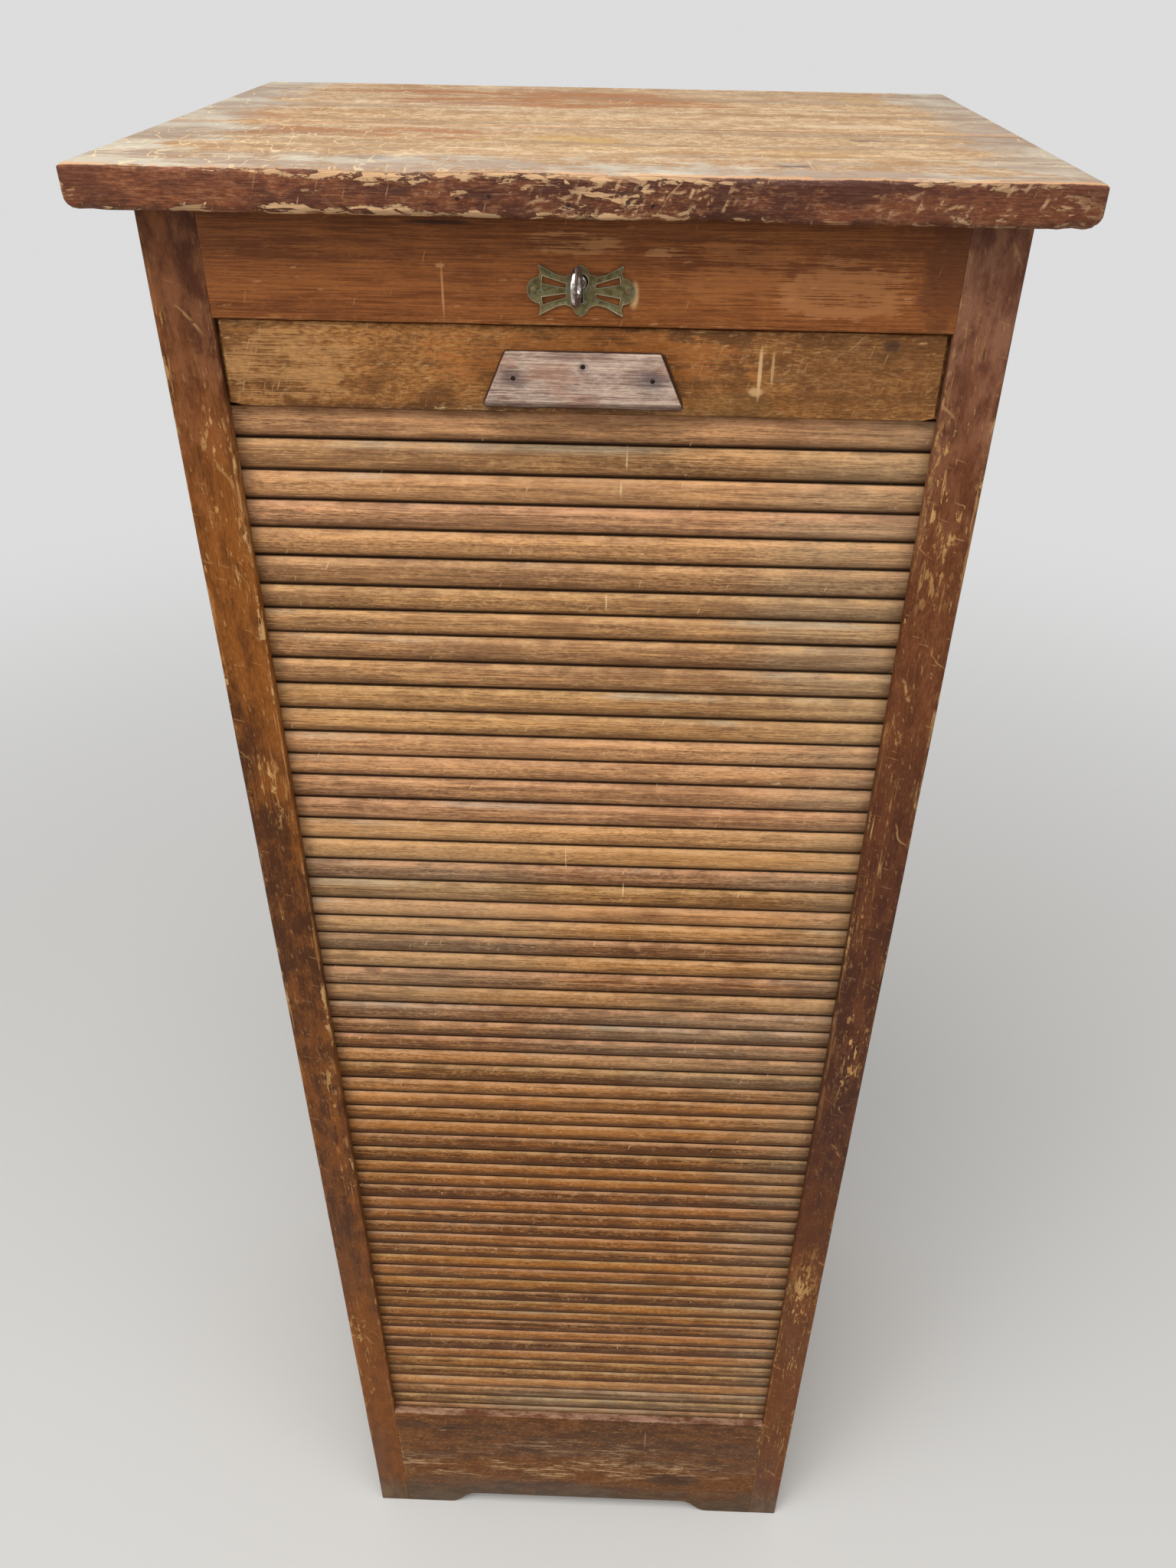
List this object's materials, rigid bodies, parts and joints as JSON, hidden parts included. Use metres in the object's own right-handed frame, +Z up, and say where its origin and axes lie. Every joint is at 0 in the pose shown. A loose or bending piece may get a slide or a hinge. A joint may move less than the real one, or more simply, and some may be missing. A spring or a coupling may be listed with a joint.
{
  "type": "roll-front filing cabinet",
  "caption": "Tall narrow wooden filing cabinet on its own posts, closed by a slatted roll front that slides down behind the plinth, with lock, key and inner shelves.",
  "frame": {"origin": "on the floor, under the middle of the cabinet's overall box", "axes": "+Z up, +X to the right as one faces the front, -Y out of the front"},
  "size_m": [0.488, 0.396, 1.328],
  "materials": {
    "post_wood": "worn red-brown stained pine",
    "panel_wood": "worn red-brown stained pine",
    "inner_wood": "bare aged pine",
    "shelf_wood": "bare aged pine with a waxed front",
    "top_wood": "worn straw-brown pine with scratches",
    "lock_rail_wood": "orange-brown stained pine",
    "plinth_wood": "scuffed red-brown stained pine",
    "slat_wood": "faded brown stained pine",
    "canvas": "coarse linen canvas",
    "lead_rail_wood": "scratched ochre-brown pine",
    "handle_wood": "bare weathered grey-brown wood",
    "brass_plate": "brass with a green-brown patina",
    "lock_steel": "dull old steel",
    "key_steel": "worn steel with bright edges",
    "screw_steel": "dark rusty steel"
  },
  "bodies": {
    "cabinet": {"left_front_post": "post_wood", "right_front_post": "post_wood", "left_back_post": "post_wood", "right_back_post": "post_wood", "left_top_rail": "post_wood", "left_middle_rail": "post_wood", "left_bottom_rail": "post_wood", "right_top_rail": "post_wood", "right_middle_rail": "post_wood", "right_bottom_rail": "post_wood", "left_upper_panel": "panel_wood", "left_lower_panel": "panel_wood", "right_upper_panel": "panel_wood", "right_lower_panel": "panel_wood", "back_panel": "panel_wood", "left_lining": "inner_wood", "right_lining": "inner_wood", "left_cleats": "inner_wood", "right_cleats": "inner_wood", "plinth_block": "inner_wood", "back_rail": "inner_wood", "back_block": "inner_wood", "inner_back": "inner_wood", "bottom_board": "inner_wood", "floor_board": "inner_wood", "top_battens": "inner_wood", "shelf_1": "shelf_wood", "shelf_2": "shelf_wood", "shelf_3": "shelf_wood", "shelf_4": "shelf_wood", "shelf_5": "shelf_wood", "shelf_6": "shelf_wood", "shelf_7": "shelf_wood", "shelf_8": "shelf_wood", "shelf_9": "shelf_wood", "shelf_10": "shelf_wood", "top_front_plank": "top_wood", "top_rear_plank": "top_wood", "lock_rail": "lock_rail_wood", "plinth": "plinth_wood", "tambour_slats": "slat_wood", "tambour_canvas": "canvas", "escutcheon": "brass_plate", "escutcheon_pins": "brass_plate", "lock_case": "lock_steel", "lock_cap": "lock_steel", "lock_spring": "lock_steel", "top_screws": "screw_steel", "lock_screws": "screw_steel"},
    "curtain_rail": {"lead_rail": "lead_rail_wood", "handle": "handle_wood", "handle_nails": "screw_steel", "link_plate": "brass_plate", "link_screws": "screw_steel"},
    "key": {"key": "key_steel"},
    "bolt": {"lock_bolt": "lock_steel"}
  },
  "joints": [
    {"name": "curtain_slide", "type": "slide", "parent": "cabinet", "child": "curtain_rail", "axis": [0, 0, -1], "range_m": [0, 1.023], "deforming": ["tambour_slats", "tambour_canvas"]},
    {"name": "key_turn", "type": "hinge", "parent": "cabinet", "child": "key", "pos_m": [0, -0.164, 1.2765], "axis": [0, 1, 0], "range_deg": [0, 360]},
    {"name": "bolt_slide", "type": "slide", "parent": "cabinet", "child": "bolt", "axis": [1, 0, 0], "range_m": [0, 0.008]}
  ],
  "couplings": [
    {"joint": "key_turn", "follows": "bolt_slide", "rad_per_m": 785.4}
  ]
}
